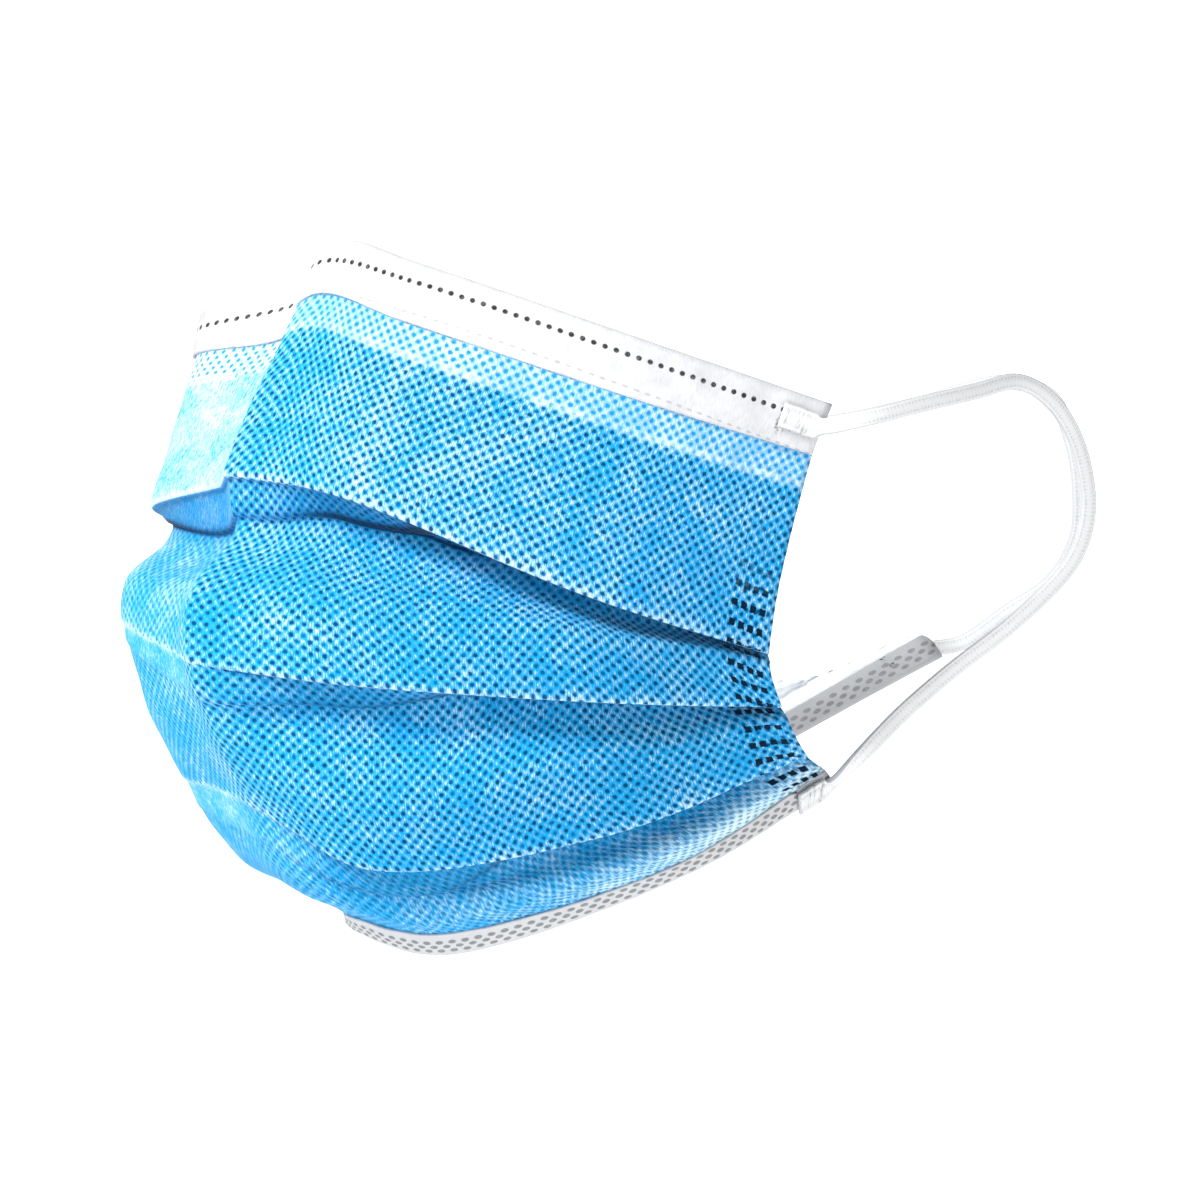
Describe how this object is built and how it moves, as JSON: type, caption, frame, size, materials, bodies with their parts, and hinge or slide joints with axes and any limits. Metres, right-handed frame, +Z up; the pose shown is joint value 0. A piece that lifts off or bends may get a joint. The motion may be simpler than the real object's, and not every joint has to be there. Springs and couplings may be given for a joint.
{
  "type": "surgical face mask",
  "caption": "Pleated ear-loop face mask in thin blue non-woven cloth with folded white hems, held open in the shape it takes when worn.",
  "frame": {"origin": "inner face of the top hem at the middle fold, half way down the hem: the place that sits on the bridge of the nose", "axes": "+Z up towards the forehead, the wearer faces -Y, and +X is the wearer's left; the mask is held open as worn"},
  "size_m": [0.0907, 0.1443, 0.1009],
  "materials": {
    "blue_cloth": "matt spunbond non-woven with a staggered grid of small welded dots, blue outside and white inside",
    "white_hem": "matt white non-woven folded over the edge, with rows of small weld marks",
    "nose_wire": "flat bare strip, hidden in the top hem",
    "elastic": "knitted off-white elastic strap with soft rough edges"
  },
  "bodies": {
    "root": {"mask_body": "blue_cloth", "top_hem": "white_hem", "bottom_hem": "white_hem", "nose_wire": "nose_wire", "ear_loop_left": "elastic", "ear_loop_right": "elastic"}
  },
  "joints": []
}
